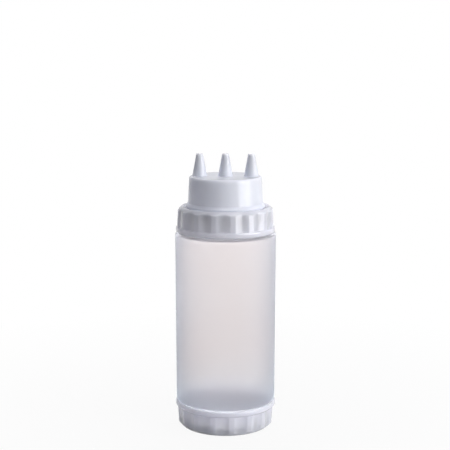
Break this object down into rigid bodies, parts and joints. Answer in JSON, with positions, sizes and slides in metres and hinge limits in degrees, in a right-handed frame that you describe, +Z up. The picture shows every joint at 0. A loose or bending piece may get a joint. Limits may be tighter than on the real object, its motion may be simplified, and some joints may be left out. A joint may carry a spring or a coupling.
{
  "type": "sauce bottle",
  "caption": "Refillable squeeze bottle for sauce: frosted tube open at both ends, fluted screw rings, a head with a row of conical nozzles on top and a closing disc in the base.",
  "frame": {"origin": "centre of the foot, on the surface that the bottle stands on", "axes": "+Z up along the bottle's axis; the row of nozzles lies along X"},
  "size_m": [0.0702, 0.0702, 0.1923],
  "materials": {
    "frosted_tube": "soft translucent polyethylene, evenly frosted",
    "white_moulding": "polished milky white polypropylene moulding",
    "seal": "matt translucent silicone"
  },
  "bodies": {
    "bottle": {"bottle_body": "frosted_tube"},
    "head_seal": {"head_gasket": "seal"},
    "head": {"nozzle_head": "white_moulding"},
    "top_ring": {"top_ring": "white_moulding"},
    "base_plug": {"base_disc": "white_moulding", "base_gasket": "seal"},
    "base_ring": {"base_ring": "white_moulding"}
  },
  "joints": [
    {"name": "top_ring_lift", "type": "slide", "parent": "bottle", "child": "head_seal", "axis": [0, 0, 1], "range_m": [0, 0.005]},
    {"name": "top_ring_turn", "type": "hinge", "parent": "head_seal", "child": "top_ring", "pos_m": [0, 0, 0.14715], "axis": [0, 0, 1], "range_deg": [0, 450]},
    {"name": "head_swivel", "type": "hinge", "parent": "head_seal", "child": "head", "pos_m": [0, 0, 0.15], "axis": [0, 0, 1], "continuous": true},
    {"name": "base_ring_drop", "type": "slide", "parent": "bottle", "child": "base_plug", "axis": [0, 0, -1], "range_m": [0, 0.005]},
    {"name": "base_ring_turn", "type": "hinge", "parent": "base_plug", "child": "base_ring", "pos_m": [0, 0, 0.00885], "axis": [0, 0, -1], "range_deg": [0, 450]}
  ],
  "couplings": [
    {"joint": "top_ring_lift", "follows": "top_ring_turn", "m_per_rad": 0.00063662},
    {"joint": "base_ring_drop", "follows": "base_ring_turn", "m_per_rad": 0.00063662}
  ]
}
